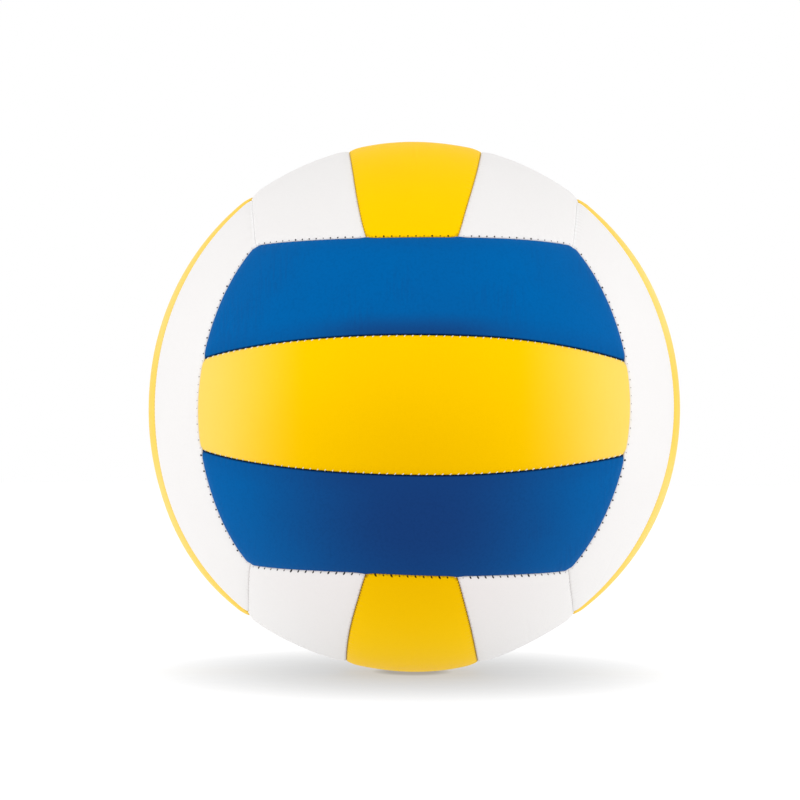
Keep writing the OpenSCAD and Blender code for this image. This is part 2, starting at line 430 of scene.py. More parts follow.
def inset_patch(sides, u, v, margin):
    """Points of the surface between four seams, a margin in from each."""
    margin_u = margin / np.mean([sides[0][1].length, sides[1][1].length])
    margin_v = margin / np.mean([sides[2][1].length, sides[3][1].length])
    return patch(sides, margin_u + u * (1 - 2 * margin_u), margin_v + v * (1 - 2 * margin_v))


def stations(lengths, near, count):
    """Places across a width, close together near both sides. One row for each length."""
    lengths = np.asarray(lengths, float)[..., None]
    near = np.asarray(near, float)
    between = np.linspace(0, 1, count - 2 * len(near) + 3)[1:-1]
    middle = near[-1] + between * (lengths - 2 * near[-1])
    ones = np.ones_like(lengths)
    places = [ones * near[:-1], ones * near[-1], middle, lengths - near[-1], lengths - near[:-1][::-1]]
    return np.concatenate(places, axis=-1) / lengths


def eights(length, near, step):
    """How many cells fill a length, in eights, so that the middle is at a coarse point too."""
    count = 2 * len(near) + (length - 2 * near[-1]) / step
    return 2 * COARSE * max(1, round(count / (2 * COARSE)))


def strip_grid(sides, near, step):
    """Shares u and v of a grid over a strip, with even distances to its four seams."""
    ends = np.linspace(0, 1, COARSE_PLACES)
    coarse_u, coarse_v = np.meshgrid(ends, ends, indexing="ij")
    coarse = patch(sides, coarse_u, coarse_v)
    widths = np.sum(np.linalg.norm(np.diff(coarse, axis=1), axis=2), axis=1)
    lengths = np.sum(np.linalg.norm(np.diff(coarse, axis=0), axis=2), axis=0)
    columns = eights(lengths.mean(), near, step)
    rows = eights(widths.max(), near, step)
    plain_u = stations(lengths.mean(), near, columns)
    plain_v = stations(widths.mean(), near, rows)
    v = stations(np.interp(plain_u, ends, widths), near, rows)
    u = stations(np.interp(plain_v, ends, lengths), near, columns).T
    return u, v


def soft_min(a, b):
    """The smaller of two distances, eased where they are alike."""
    blend = np.clip(CORNER_SOFTNESS - np.abs(a - b), 0, None)
    return np.minimum(a, b) - blend**2 / (4 * CORNER_SOFTNESS)


def drop(distance):
    """How far a cover's surface lies below the ball at a distance from its seam."""
    distance = np.clip(distance, 0, None)
    broad = SHOULDER_DROP * np.clip(1 - distance / SHOULDER_W, 0, 1) ** SHOULDER_CURVE
    inside = np.clip(FOLD_R - distance, 0, FOLD_R)
    return broad + FOLD_R - np.sqrt(FOLD_R**2 - inside**2)


class Shell:
    """Points, faces and values at points of one closed mesh, in millimetres."""

    def __init__(self):
        self.points = []
        self.values = []
        self.faces = []
        self.count = 0

    def add(self, points, values):
        """Adds points with their values, one value or one for each, and returns their numbers."""
        shape = points.shape[:-1]
        flat = points.reshape(-1, 3)
        self.points.append(flat)
        values = np.broadcast_to(values, shape + (len(LABELS),))
        self.values.append(values.reshape(-1, len(LABELS)))
        self.count += len(flat)
        return np.arange(self.count - len(flat), self.count).reshape(shape)

    def quads(self, a, b, c, d):
        self.faces.extend(np.stack([a.ravel(), b.ravel(), c.ravel(), d.ravel()], 1).tolist())

    def sheet(self, ids, keep, flipped=False):
        """Faces over a grid of points, for the cells to keep. Those under a pad are flipped."""
        corners = [ids[:-1, :-1], ids[1:, :-1], ids[1:, 1:], ids[:-1, 1:]]
        self.quads(*(corner[keep] for corner in (corners[::-1] if flipped else corners)))

    def wall(self, upper, lower):
        """Faces between two closed rings of points."""
        self.quads(upper, lower, np.roll(lower, -1), np.roll(upper, -1))


def edge_of_grid(first, last):
    """Rows and columns of the places round a grid's block, counterclockwise from outside."""
    (j0, k0), (j1, k1) = first, last
    rows = [*range(j0, j1), *[j1] * (k1 - k0), *range(j1, j0, -1), *[j0] * (k1 - k0)]
    columns = [*[k0] * (j1 - j0), *range(k0, k1), *[k1] * (j1 - j0), *range(k1, k0, -1)]
    return np.array(rows), np.array(columns)


def grid_edge(points):
    """The places round a grid's edge, and the place just inside each."""
    columns, rows = points.shape[0] - 1, points.shape[1] - 1
    around = edge_of_grid((0, 0), (columns, rows))
    return around, (np.clip(around[0], 1, columns - 1), np.clip(around[1], 1, rows - 1))


def hole_block(points, half_size, with_valve):
    """Which cells of a face's grid to keep, and the corners of a block left out for a valve."""
    keep = np.ones((points.shape[0] - 1, points.shape[1] - 1), bool)
    if not with_valve:
        return keep, None
    centre = [keep.shape[0] // 2, keep.shape[1] // 2]
    sizes = []
    for axis in (0, 1):
        line = points[:, centre[1], 0] if axis == 0 else points[centre[0], :, 1]
        cells = int(np.argmax(line[centre[axis] :] > half_size))
        sizes.append(COARSE * math.ceil(cells / COARSE))
    low = (centre[0] - sizes[0], centre[1] - sizes[1])
    high = (centre[0] + sizes[0], centre[1] + sizes[1])
    keep[low[0] : high[0], low[1] : high[1]] = False
    return keep, (low, high)


def coarse_floor(shell, ring_ids, grid_points, keep, block, rim_ids):
    """The inside of a tray: every fourth point of a grid, joined to the full rings round it."""
    columns, rows = keep.shape
    ids = np.full((columns // COARSE + 1, rows // COARSE + 1), -1)
    between = {}
    around = edge_of_grid((0, 0), (columns, rows))
    for place in range(0, len(ring_ids), COARSE):
        following = (place + COARSE) % len(ring_ids)
        ids[around[0][place] // COARSE, around[1][place] // COARSE] = ring_ids[place]
        inner = [ring_ids[place + k] for k in range(1, COARSE)]
        between[ring_ids[place], ring_ids[following]] = inner
    free = ids < 0
    ids[free] = shell.add(grid_points[::COARSE, ::COARSE][free], INSIDE)
    for j, k in np.argwhere(keep[::COARSE, ::COARSE]):
        corners = [ids[j, k], ids[j + 1, k], ids[j + 1, k + 1], ids[j, k + 1]]
        face = []
        for first, second in zip(corners, corners[1:] + corners[:1]):
            face += [int(first), *(int(p) for p in between.get((first, second), []))]
        shell.faces.append(face[::-1])
    if block:
        around = edge_of_grid(*block)
        for place in range(0, len(rim_ids), COARSE):
            following = (place + COARSE) % len(rim_ids)
            outer = [ids[around[0][p] // COARSE, around[1][p] // COARSE] for p in (place, following)]
            inner = [rim_ids[(place + k) % len(rim_ids)] for k in range(COARSE, -1, -1)]
            shell.faces.append([int(p) for p in [*outer, *inner]][::-1])


def hole_rings(shell, start, radii, depths, values):
    """Rings of points from a block's edge in to a round hole. The first ring is given."""
    corner_points = np.concatenate(shell.points)[start]
    flat = corner_points[:, :2]
    reach = np.linalg.norm(flat, axis=1, keepdims=True)
    upper = start
    for share, radius, depth in zip(*radii, depths):
        wide = flat / reach * (radius + share * (reach - radius))
        high = np.sqrt((BALL_R - depth) ** 2 - np.sum(wide**2, 1, keepdims=True))
        ring = shell.add(np.concatenate([wide, high], 1), values)
        shell.wall(ring, upper)
        upper = ring
    return upper


# The values of a cover's point: distance to its seam, stitch number along that seam, how dark the
# painted shade in the fold is there (below 0, how pale its painted light), how clearly the painted
# needle holes show, and how much the stitches pucker it
LABELS = ("seam_mm", "stitch", "crease", "punch", "pucker")
# Values far from any seam, inside a piece and outside it, and the values that a hem keeps
INSIDE = np.array([20.0, 0.5, 0.0, 0.0, 0.0])
PLAIN_OUTSIDE = np.array([20.0, 0.5, 0.0, 0.0, 1.0])
ON_HEM = np.array([0, 1, 1, 0, 0])


def cover_values(strip, sides, ball, looks):
    """The values of a cover's points, which lie on the ball in a grid."""
    flat = ball.reshape(-1, 3)
    distance, gaps, stitches = None, [], []
    for whole, stretch in sides:
        gap, run = whole.nearest(flat)
        gaps.append(gap)
        count, first = whole.stitches()
        number = (run - first) / STITCH_PITCH
        stitches.append(np.clip(number, -0.5, count - 0.5))
        distance = gap if distance is None else soft_min(distance, gap)
    nearest = np.argmin(gaps, axis=0)
    by_gap = np.sort(gaps, axis=0)
    alone = np.clip((by_gap[1] - by_gap[0] - ALONE_FROM) / ALONE_OVER, 0, 1)
    shares = 1 / (np.array(gaps) + LOOK_BLEND) ** 3
    crease = np.sum(shares * np.array(looks[0])[:, None], 0) / np.sum(shares, 0)
    stitch = np.choose(nearest, stitches)
    punch = np.choose(nearest, looks[1]) * alone
    # Beside a neighbour's middle strip holes show less
    from_middle = np.abs(stitch - (sides[1][0].stitches()[0] - 1) / 2) * STITCH_PITCH
    beside_middle = (nearest == 1) & (from_middle < edge_ring * joint_angle) & (strip == 1)
    punch = np.where(beside_middle, HOLES_BESIDE_MIDDLE * punch, punch)
    values = np.stack([np.clip(distance, 0, None), stitch, crease, punch, alone], 1)
    return values.reshape(ball.shape[:-1] + (len(LABELS),))


def valve_rim(shell, start):
    """Rings from the edge of a cover's block in to its valve hole, over a rounded rim."""
    turn = np.radians([90, 60, 30, 0])
    rim_radii = VALVE_HOLE_D / 2 + RIM_R * (1 - np.cos(turn))
    shares = [*RIM_SHARES, *[0.0] * 5]
    radii = [*[rim_radii[0]] * len(RIM_SHARES), *rim_radii, rim_radii[-1]]
    dips = RIM_DIP * (1 - np.array(RIM_SHARES)) ** 3
    depths = [*dips, *(RIM_DIP + RIM_R * (1 - np.sin(turn))), COVER_T]
    return hole_rings(shell, start, (shares, radii), depths, PLAIN_OUTSIDE)


def cover_shell(strip, turns, looks, with_valve):
    """One cover as a tray: a swelling outside, rounded folds, turned-in hems and an inside."""
    sides = strip_sides(strip, turns)
    u, v = strip_grid(sides, COVER_NEAR, GRID_STEP)
    ball = patch(sides, u, v)
    values = cover_values(strip, sides, ball, looks)
    outside = ball * (1 - drop(values[..., :1]) / BALL_R)
    shell = Shell()
    around, inner = grid_edge(ball)
    inward = unit(ball[inner] - ball[around]) * SEAM_GAP / 2
    outside[around] += inward
    ids = shell.add(outside, values)
    keep, block = hole_block(ball, COVER_BLOCK, with_valve)
    shell.sheet(ids, keep)
    upper = ids[around]
    tray = inset_patch(sides, u, v, COVER_T)
    edge = (ball[around] + inward, values[around] * ON_HEM)
    back = (tray[around], INSIDE)
    rings = [(edge, depth) for depth in HEM_LEVELS] + [(back, HEM_DEPTH), (back, COVER_T)]
    for (points, point_values), depth in rings:
        ring = shell.add(points * (1 - depth / BALL_R), point_values)
        shell.wall(upper, ring)
        upper = ring
    rim = valve_rim(shell, ids[edge_of_grid(*block)]) if block else None
    coarse_floor(shell, upper, tray * (1 - COVER_T / BALL_R), keep, block, rim)
    return shell


def valve_room(shell, upper, lower):
    """The hole in the pad behind the valve panel: wide for the backing ring, then as the seat's."""
    room = RING_D / 2 + PAD_GAP
    bore = SEAT_HOLE_D / 2
    level = COVER_T + PAD_GAP
    shares = [0.5, 0, 0, 0]
    radii = [room + PAD_EDGE, room + PAD_EDGE, room, bore]
    depths = [level, level, level + RING_T + PAD_GAP, level + RING_T + PAD_GAP]
    ring = hole_rings(shell, upper, (shares, radii), depths, INSIDE)
    wide = unit(np.concatenate(shell.points)[lower][:, :2]) * bore
    high = np.sqrt((BALL_R - HEM_DEPTH) ** 2 - np.sum(wide**2, 1, keepdims=True))
    last = shell.add(np.concatenate([wide, high], 1), INSIDE)
    shell.wall(last, ring)
    shell.wall(lower, last)


def pad_shell(strip, turns, with_valve):
    """One foam pad: a crowned sheet whose sides pull in, with room for the valve if it has one."""
    sides = strip_sides(strip, turns)
    u, v = strip_grid(sides, PAD_NEAR, PAD_STEP)
    ball = inset_patch(sides, u, v, COVER_T + PAD_GAP + SEAM_GAP / 2)
    length = sides[0][1].length
    width = sides[2][1].length
    inset = np.minimum(np.minimum(u, 1 - u) * length, np.minimum(v, 1 - v) * width)
    crown = np.clip(1 - inset / PAD_CROWN_W, 0, 1)[..., None] ** 2
    top = ball * (1 - (COVER_T + PAD_GAP + PAD_CROWN * crown) / BALL_R)
    under = ball * (1 - (HEM_DEPTH - PAD_CROWN_UNDER * crown) / BALL_R)
    shell = Shell()
    around, inner = grid_edge(ball)
    upper = shell.add(top, INSIDE)
    keep, block = hole_block(ball, PAD_BLOCK, with_valve)
    shell.sheet(upper, keep)
    bulge = unit(ball[around] - ball[inner]) * PAD_BULGE
    waist = shell.add((top[around] + under[around]) / 2 + bulge, INSIDE)
    shell.wall(upper[around], waist)
    lower = shell.add(under, INSIDE)
    shell.wall(waist, lower[around])
    shell.sheet(lower, keep, flipped=True)
    if block:
        block_edge = edge_of_grid(*block)
        valve_room(shell, upper[block_edge], lower[block_edge])
    return shell


def lathe_shell(profile, sides):
    """A profile of radius and height pairs, turned about the Y axis. An end on the axis closes."""
    shell = Shell()
    rings = []
    for radius, height in profile:
        count = 1 if radius == 0 else sides
        angles = np.arange(count) / sides * 2 * math.pi
        points = np.stack(
            [radius * np.cos(angles), np.full(count, height), radius * np.sin(angles)], 1
        )
        rings.append(shell.add(points, INSIDE))
    if profile[0][0] > 0:
        rings.append(rings[0])
    for lower, upper in zip(rings, rings[1:]):
        if len(lower) == 1:
            shell.faces += [[int(lower[0]), int(a), int(b)] for a, b in zip(upper, np.roll(upper, -1))]
        elif len(upper) == 1:
            shell.faces += [[int(a), int(upper[0]), int(b)] for a, b in zip(lower, np.roll(lower, -1))]
        else:
            shell.wall(lower, upper)
    return shell


def swelling(points):
    """Gentle unevenness of stuffed panels, in waves 50 to 110 mm long."""
    x, y, z = (points[:, k] for k in range(3))
    slow = np.sin(x / 11 + 2.1 * np.sin(y / 17)) * np.cos(z / 13 + 1.3)
    return slow + 0.6 * np.sin(y / 8 + z / 9 + 0.7) * np.cos(x / 10 - z / 15)


def make_piece(name, shell, turn, mirrored=False):
    """A mesh object in metres from a shell, turned from its face's frame to the ball's."""
    points = np.concatenate(shell.points)
    values = np.concatenate(shell.values)
    faces = shell.faces
    local = points
    if mirrored:
        points = mirror_y(points)
        faces = [face[::-1] for face in faces]
    points = drifted(points @ turn.T)
    swell = SWELL * np.clip((values[:, :1] - SWELL_FROM) / SWELL_OVER, 0, 1) * (values[:, 4:] > 0)
    points = points * (1 + swell * swelling(points)[:, None] / BALL_R)
    mesh = bpy.data.meshes.new(name)
    mesh.from_pydata((points * MM).tolist(), [], faces)
    mesh.polygons.foreach_set("use_smooth", np.ones(len(faces), bool))
    for column, label in enumerate(LABELS):
        held = mesh.attributes.new(label, "FLOAT", "POINT")
        held.data.foreach_set("value", values[:, column].astype(np.float32))
    held = mesh.attributes.new("panel_mm", "FLOAT_VECTOR", "POINT")
    held.data.foreach_set("vector", local.astype(np.float32).ravel())
    mesh.update()
    piece = bpy.data.objects.new(name, mesh)
    scene.collection.objects.link(piece)
    return piece


# Materials. Each is made of nodes in millimetres on the piece


def linear(colour, alpha=1.0):
    """An sRGB hex colour as linear values."""
    parts = [int(colour[k : k + 2], 16) / 255 for k in (1, 3, 5)]
    curve = [c / 12.92 if c <= 0.04045 else ((c + 0.055) / 1.055) ** 2.4 for c in parts]
    return (*curve, alpha)


def node(tree, kind, inputs=(), **settings):
    """Adds a node. Inputs in a list go to the sockets in use, in order, and those in a dict to the
    sockets so named. Each is a value, an output, or a node for its first output in use."""
    made = tree.nodes.new(kind)
    for name, value in settings.items():
        setattr(made, name, value)
    if isinstance(inputs, dict):
        given = [(made.inputs[name], value) for name, value in inputs.items()]
    else:
        given = list(zip((socket for socket in made.inputs if socket.enabled), inputs))
    for socket, value in given:
        if isinstance(value, bpy.types.Node):
            value = next(output for output in value.outputs if output.enabled)
        if isinstance(value, bpy.types.NodeSocket):
            tree.links.new(value, socket)
        else:
            socket.default_value = value
    return made


def new_material(name):
    """An empty material with its surface shader, and the coordinates of a piece in millimetres."""
    made = bpy.data.materials.new(name)
    made.use_nodes = True
    tree = made.node_tree
    tree.nodes.clear()
    shader = node(tree, "ShaderNodeBsdfPrincipled")
    node(tree, "ShaderNodeOutputMaterial", {"Surface": shader})
    place = node(tree, "ShaderNodeTexCoord").outputs["Object"]
    in_mm = node(tree, "ShaderNodeVectorMath", [place, 1 / MM], operation="SCALE")
    return made, tree, shader, in_mm


# Settings of nodes that mix colours, and of those that fade softly between two values
COLOURS = {"data_type": "RGBA"}
SMOOTH = {"interpolation_type": "SMOOTHSTEP"}
# Sizes of leather in millimetres. Pebbles of the embossed grain are about twice the real size, so
# that they show. Creases are 1 mm apart and some 11 mm long, in patches
GRAIN_W = 0.9
PORE_W = 0.5
CLOUD_W = 38.0
STREAK_W = 1.0
STREAK_L = 11.0
STREAK_PATCH_W = 22.0
# Heights of leather in millimetres: those of its pebbles, of its pores, of the puckers between
# stitches and of the needle holes. Below 0 the high values of a pattern lie low
GRAIN_H = -0.025
PORE_H = 0.012
PUCKER_H = 0.06
HOLE_H = -0.12
# How dark the painted shade of a crease is for each millimetre of its height
STREAK_SHADE = 4.0
# Most values of a noise lie between these
NOISE_RANGE = (0.3, 0.7)
# Where a pattern or a tone fades: the low and high end in millimetres or in the pattern's own
# values, and how strong it is at each end
STREAK_EDGES = (0.42, 0.62, 0.0, 1.0)
STREAK_PATCHES = (0.45, 0.7, 0.05, 1.0)
CLOUDS = (*NOISE_RANGE, 0.0, 0.08)
# Painted light: the sides of the ball are paler
SIDES = (38.0, 98.0, 0.0, 1.0)
OUTER_SIDES = (98.0, 103.0, 1.0, 0.6)
# Painted shade: a place low on the front of the ball is darker
LOW_SHADE = (6.0, 95.0, 1.0, 0.0)
# Painted shade on the shoulder of a dark fold and in the fold, and painted light in pale white folds
SHOULDER = (0.5, 10.0, 0.75, 0.0)
FOLD = (0.05, 0.9, 1.0, 0.0)
PALE_FOLD = (0.2, 1.1, -1.0, 0.0)
PUCKERED = (0.6, 4.0, -1.0, 0.0)
HOLE_RIM = (0.7, 1.25, 1.0, 0.0)
ROUGHNESS = (*NOISE_RANGE, 0.4, 0.48)
GRAIN_EDGES = (0.4, 0.75)
# The painted shade on a dark fold's shoulder is darkest up to the first distance from the ball's
# middle plane, and a quarter as dark beyond the second
SHOULDER_SIDES = (10.0, 48.0)
# The middle of the painted shade: a softly darker place low on the front
SHADE_PLACE = (3.0, -95.0, -42.0)
LEATHER_IOR = 1.5
# Needle holes sit just beyond the fold, in millimetres from the seam. Their radius grows with how
# clearly they show, up to a limit, and their sizes are uneven: a least share and what luck adds
HOLE_PLACE = 0.48
HOLE_R = 0.32
HOLE_GROWTH = 0.35
HOLE_MOST = 1.4
HOLE_LEAST = 0.6
HOLE_LUCK = 0.6


def skin_patterns(tree, in_mm):
    """Leather's pebbled grain, fine pores, slow clouds and fine creases across the strip."""
    inputs = {"Vector": in_mm, "Scale": 1 / GRAIN_W, "Smoothness": 0.6}
    grain = node(tree, "ShaderNodeTexVoronoi", inputs, feature="SMOOTH_F1")
    pores = node(tree, "ShaderNodeTexNoise", [in_mm, 1 / PORE_W, 3.0])
    cloud = node(tree, "ShaderNodeTexNoise", [in_mm, 1 / CLOUD_W, 2.0])
    panel = node(tree, "ShaderNodeAttribute", attribute_name="panel_mm").outputs["Vector"]
    inputs = {"Vector": panel, "Scale": (1 / STREAK_W, 1 / STREAK_L, 1 / STREAK_L)}
    stretched = node(tree, "ShaderNodeMapping", inputs)
    inputs = {"Vector": stretched, "Scale": 1.0, "Detail": 2.0, "Distortion": 0.5}
    streak = node(tree, "ShaderNodeTexNoise", inputs)
    streak = node(tree, "ShaderNodeMapRange", [streak, *STREAK_EDGES], **SMOOTH)
    patches = node(tree, "ShaderNodeTexNoise", [in_mm, 1 / STREAK_PATCH_W, 1.0])
    patches = node(tree, "ShaderNodeMapRange", [patches, *STREAK_PATCHES], **SMOOTH)
    streaks = node(tree, "ShaderNodeMath", [streak, patches], operation="MULTIPLY")
    return grain, pores, cloud, streaks


def needle_holes(tree, seam, stitch, punch):
    """How dark the painted shade in a needle hole is: there is one at each stitch, long across the
    seam past punch 1.
    """
    centred = node(tree, "ShaderNodeMath", [stitch, 0.5], operation="ADD")
    in_cell = node(tree, "ShaderNodeMath", [centred], operation="FRACT")
    off_hole = node(tree, "ShaderNodeMath", [in_cell, 0.5], operation="SUBTRACT")
    off_seam = node(tree, "ShaderNodeMath", [seam, HOLE_PLACE], operation="SUBTRACT")
    length = node(tree, "ShaderNodeMath", [punch, 1.0], operation="MAXIMUM")
    longer = node(tree, "ShaderNodeMath", [1.0, length], operation="SUBTRACT")
    slant = node(tree, "ShaderNodeMath", [longer, off_seam], operation="MULTIPLY")
    inputs = [off_hole, STITCH_PITCH, slant]
    lengthways = node(tree, "ShaderNodeMath", inputs, operation="MULTIPLY_ADD")
    across = node(tree, "ShaderNodeMath", [off_seam, length], operation="DIVIDE")
    place = node(tree, "ShaderNodeCombineXYZ", [lengthways, across])
    away = node(tree, "ShaderNodeVectorMath", [place], operation="LENGTH")
    number = node(tree, "ShaderNodeMath", [centred], operation="FLOOR")
    luck = node(tree, "ShaderNodeTexWhiteNoise", [number], noise_dimensions="1D")
    growth = node(tree, "ShaderNodeMath", [punch, HOLE_MOST], operation="MINIMUM")
    inputs = [growth, HOLE_R * HOLE_GROWTH, HOLE_R * (1 - HOLE_GROWTH)]
    wide = node(tree, "ShaderNodeMath", inputs, operation="MULTIPLY_ADD")
    uneven = node(tree, "ShaderNodeMath", [luck, HOLE_LUCK, HOLE_LEAST], operation="MULTIPLY_ADD")
    wide = node(tree, "ShaderNodeMath", [wide, uneven], operation="MULTIPLY")
    off_rim = node(tree, "ShaderNodeMath", [away, wide], operation="DIVIDE")
    clear = node(tree, "ShaderNodeMath", [punch, 1.0], operation="MINIMUM")
    round_hole = node(tree, "ShaderNodeMapRange", [off_rim, *HOLE_RIM], **SMOOTH)
    return node(tree, "ShaderNodeMath", [round_hole, clear], operation="MULTIPLY")


def fold_shades(tree, seam, stitch, dark_fold, sideways, shoulder_shade, ticks):
    """How strong the painted shades of a fold are: its shoulder and its edge, and the painted light on
    white folds.
    """
    shoulder = node(tree, "ShaderNodeMapRange", [seam, *SHOULDER], **SMOOTH)
    shoulder = node(tree, "ShaderNodeMath", [shoulder, dark_fold], operation="MULTIPLY")
    inputs = [sideways, *SHOULDER_SIDES, shoulder_shade, shoulder_shade / 4]
    off_middle = node(tree, "ShaderNodeMapRange", inputs, **SMOOTH)
    shoulder = node(tree, "ShaderNodeMath", [shoulder, off_middle], operation="MULTIPLY")
    # The painted shade at the fold's edge comes in two ticks for each stitch, where the thread pulls
    # it
    tick = node(tree, "ShaderNodeMath", [stitch, 4 * math.pi], operation="MULTIPLY")
    tick = node(tree, "ShaderNodeMath", [tick], operation="COSINE")
    tick = node(tree, "ShaderNodeMath", [tick, ticks, 1 - ticks], operation="MULTIPLY_ADD")
    in_fold = node(tree, "ShaderNodeMapRange", [seam, *FOLD], **SMOOTH)
    in_fold = node(tree, "ShaderNodeMath", [in_fold, dark_fold], operation="MULTIPLY")
    in_fold = node(tree, "ShaderNodeMath", [in_fold, tick], operation="MULTIPLY")
    # Both factors are below 0 where two white panels meet at the top, and the fold there is painted
    # pale: painted light over its shade
    painted_fold_light = node(tree, "ShaderNodeMapRange", [seam, *PALE_FOLD], **SMOOTH)
    painted_fold_light = node(tree, "ShaderNodeMath", [painted_fold_light, dark_fold], operation="MULTIPLY")
    return shoulder, in_fold, painted_fold_light


def leather(name, colours, wrinkles, grain_shade, shine, gloss, shoulder_shade, ticks):
    """Cover material in one colour, with grain, pores, seam creases, puckers and needle holes, and
    with painted light and shade: paler sides, a darker place low on the front, and darker creases,
    folds, grain hollows and needle holes.
    """
    colour, shade, pale, crease, hole = colours
    made, tree, shader, in_mm = new_material(name)
    seam, stitch, dark_fold, punch, pucker = (
        node(tree, "ShaderNodeAttribute", attribute_name=label).outputs["Fac"] for label in LABELS
    )
    grain, pores, cloud, streaks = skin_patterns(tree, in_mm)
    holes = needle_holes(tree, seam, stitch, punch)

    # Painted light and shade: the sides of the ball are painted paler, as if lit more by the side
    # lamps, and a place low on the front is painted softly darker, as if in shade
    sideways = node(tree, "ShaderNodeSeparateXYZ", [in_mm]).outputs["X"]
    sideways = node(tree, "ShaderNodeMath", [sideways], operation="ABSOLUTE")
    at_sides = node(tree, "ShaderNodeMapRange", [sideways, *SIDES], **SMOOTH)
    at_rim = node(tree, "ShaderNodeMapRange", [sideways, *OUTER_SIDES], **SMOOTH)
    painted_side_light = node(tree, "ShaderNodeMath", [at_sides, at_rim], operation="MULTIPLY")
    from_shade = node(tree, "ShaderNodeVectorMath", [in_mm, SHADE_PLACE], operation="DISTANCE")
    low_shade = node(tree, "ShaderNodeMapRange", [from_shade, *LOW_SHADE], **SMOOTH)
    clouds = node(tree, "ShaderNodeMapRange", [cloud, *CLOUDS], **SMOOTH)
    # Creases are painted darker: painted shade
    crease_shade = node(tree, "ShaderNodeMath", [streaks, wrinkles * STREAK_SHADE], operation="MULTIPLY")
    # The hollows between the grain's pebbles are painted darker: painted shade
    grain_hollow_shade = node(tree, "ShaderNodeMapRange", [grain, *GRAIN_EDGES, 0.0, grain_shade], **SMOOTH)
    folds = fold_shades(tree, seam, stitch, dark_fold, sideways, shoulder_shade, ticks)
    shoulder, in_fold, painted_fold_light = folds
    toned = linear(colour)
    # Over the base colour: painted light at the sides, painted shade low on the front, random clouds,
    # then painted shade in creases, grain hollows, the fold's shoulder and edge, painted light on pale
    # white folds and painted shade in needle holes
    for strength, tone in (
        (painted_side_light, pale),
        (low_shade, shade),
        (clouds, shade),
        (crease_shade, shade),
        (grain_hollow_shade, crease),
        (shoulder, shade),
        (in_fold, crease),
        (painted_fold_light, "#FFFFFF"),
        (holes, hole),
    ):
        toned = node(tree, "ShaderNodeMix", [strength, toned, linear(tone)], **COLOURS)
    tree.links.new(toned.outputs["Result"], shader.inputs["Base Color"])

    # Puckers between the stitches are strongest near the seam
    pull = node(tree, "ShaderNodeMath", [stitch, 2 * math.pi], operation="MULTIPLY")
    pull = node(tree, "ShaderNodeMath", [pull], operation="COSINE")
    puckers = node(tree, "ShaderNodeMapRange", [seam, *PUCKERED], **SMOOTH)
    puckers = node(tree, "ShaderNodeMath", [puckers, pucker], operation="MULTIPLY")
    puckers = node(tree, "ShaderNodeMath", [pull, puckers], operation="MULTIPLY")
    shape = {}
    for height, size in (
        (grain, GRAIN_H),
        (pores, PORE_H),
        (streaks, wrinkles),
        (puckers, PUCKER_H),
        (holes, HOLE_H),
    ):
        inputs = {"Height": height, "Strength": 1.0, "Distance": abs(size) * MM, **shape}
        shape = {"Normal": node(tree, "ShaderNodeBump", inputs, invert=size < 0)}
    tree.links.new(shape["Normal"].outputs[0], shader.inputs["Normal"])
    roughness = node(tree, "ShaderNodeMapRange", [pores, *ROUGHNESS], **SMOOTH)
    tree.links.new(roughness.outputs[0], shader.inputs["Roughness"])
    shader.inputs["IOR"].default_value = LEATHER_IOR
    shader.inputs["Specular IOR Level"].default_value = gloss
    shader.inputs["Specular Tint"].default_value = linear(shine)
    return made


MATERIALS = {
    # Calendered PVC leather with a satin skin: deep royal blue whose shine is blue too
    "blue": leather(
        "pvc_leather_blue",
        ("#0061A8", "#163B74", "#0062AA", "#04142E", "#061022"),
        *(0.03, 0.06, "#1558D8", 0.02, 1.0, 0.0),
    ),
    # The same sheet in golden yellow, painted paler at the sides as painted light, with brown
    # painted shade in its folds and in the hollows of its grain
    "yellow": leather(
        "pvc_leather_yellow",
        ("#FFCE00", "#EBB600", "#FFDC74", "#6A4518", "#2A1C12"),
        *(0.008, 0.01, "#FFC400", 0.02, 0.0, 0.45),
    ),
    # The same sheet in white: a smooth skin whose grain shows only against the light
    "white": leather(
        "pvc_leather_white",
        ("#ECEAE9", "#E9E3E2", "#F1EFEE", "#A09698", "#14131A"),
        *(0.008, 0.01, "#FFFFFF", 0.1, 0.0, 0.0),
    ),
}


# Sewing thread: its number of plies, and in millimetres the height of their twist and the width
# and height of its fibres
PLIES = 3
PLY_H = 0.04
FIBRE_W = 0.12
FIBRE_H = 0.02


